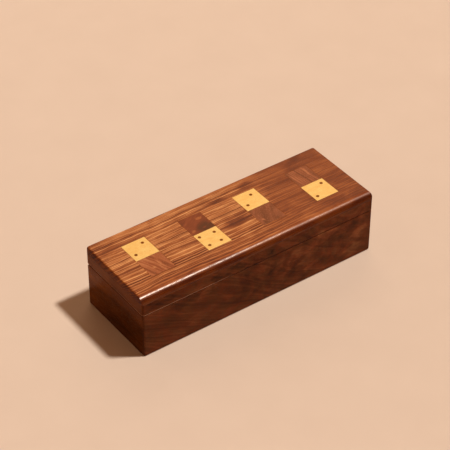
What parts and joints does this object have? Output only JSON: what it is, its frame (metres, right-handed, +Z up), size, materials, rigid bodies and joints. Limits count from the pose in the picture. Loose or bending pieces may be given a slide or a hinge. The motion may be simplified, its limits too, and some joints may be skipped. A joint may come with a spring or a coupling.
{
  "type": "wooden box with domino inlays",
  "caption": "Low hinged-lid rosewood box for small game or puzzle pieces, with brass and dark wood domino inlays let into its lid.",
  "frame": {"origin": "centre of the underside, on the surface the box stands on", "axes": "+X along the box's length to the right, +Y to the back where the hinges are, +Z up"},
  "size_m": [0.165, 0.058, 0.0425],
  "materials": {
    "wall_rosewood": "polished, figured dark red-brown",
    "top_rosewood": "polished, straight orange-brown grain",
    "panel_rosewood": "sanded and oiled",
    "inlay_dark_wood": "polished, flush with the lid",
    "inlay_brass": "satin, sanded flush with the lid",
    "pip_filler": "dark lac, flush",
    "hinge_brass": "drawn brass, lightly aged",
    "screw_brass": "turned brass"
  },
  "bodies": {
    "base": {"base_front_wall": "wall_rosewood", "base_back_wall": "wall_rosewood", "base_left_wall": "wall_rosewood", "base_right_wall": "wall_rosewood", "bottom_panel": "panel_rosewood", "left_hinge_base_leaf": "hinge_brass", "left_hinge_base_screw_1": "screw_brass", "left_hinge_base_screw_2": "screw_brass", "left_hinge_pin": "hinge_brass", "right_hinge_base_leaf": "hinge_brass", "right_hinge_base_screw_1": "screw_brass", "right_hinge_base_screw_2": "screw_brass", "right_hinge_pin": "hinge_brass"},
    "lid": {"lid_front_wall": "wall_rosewood", "lid_back_wall": "wall_rosewood", "lid_left_wall": "wall_rosewood", "lid_right_wall": "wall_rosewood", "lid_top_board": "top_rosewood", "brass_square_1": "inlay_brass", "dark_square_1": "inlay_dark_wood", "pip_1_1": "pip_filler", "pip_1_2": "pip_filler", "brass_square_2": "inlay_brass", "dark_square_2": "inlay_dark_wood", "pip_2_1": "pip_filler", "pip_2_2": "pip_filler", "pip_2_3": "pip_filler", "pip_2_4": "pip_filler", "brass_square_3": "inlay_brass", "dark_square_3": "inlay_dark_wood", "pip_3_1": "pip_filler", "pip_3_2": "pip_filler", "brass_square_4": "inlay_brass", "dark_square_4": "inlay_dark_wood", "pip_4_1": "pip_filler", "pip_4_2": "pip_filler", "left_hinge_lid_leaf": "hinge_brass", "left_hinge_lid_screw_1": "screw_brass", "left_hinge_lid_screw_2": "screw_brass", "right_hinge_lid_leaf": "hinge_brass", "right_hinge_lid_screw_1": "screw_brass", "right_hinge_lid_screw_2": "screw_brass"}
  },
  "joints": [
    {"name": "lid_hinge", "type": "hinge", "parent": "base", "child": "lid", "pos_m": [0, 0.02775, 0.0301], "axis": [-1, 0, 0], "range_deg": [0, 108]}
  ]
}
